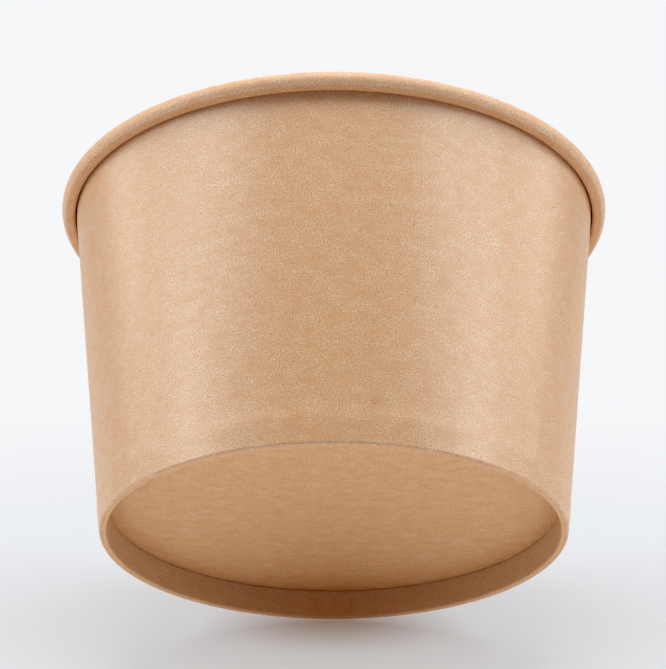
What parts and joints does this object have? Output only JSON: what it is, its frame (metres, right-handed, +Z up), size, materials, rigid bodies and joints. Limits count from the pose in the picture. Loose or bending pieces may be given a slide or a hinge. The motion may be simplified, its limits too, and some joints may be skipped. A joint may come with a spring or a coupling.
{
  "type": "paper soup bowl",
  "caption": "Round kraft paper soup bowl with straight tapered wall, rolled rim and a flat base set up inside a folded foot, open at the top.",
  "frame": {"origin": "centre of the foot, on the surface that the bowl stands on", "axes": "+Z up the bowl's axis towards the open rim, +Y towards the lapped side seam"},
  "size_m": [0.115, 0.115, 0.074],
  "materials": {
    "wall_board": "matt uncoated kraft outside, thin satin film inside",
    "base_board": "matt uncoated kraft below, thin satin film above"
  },
  "bodies": {
    "root": {"side_wall": "wall_board", "base_disc": "base_board"}
  },
  "joints": []
}
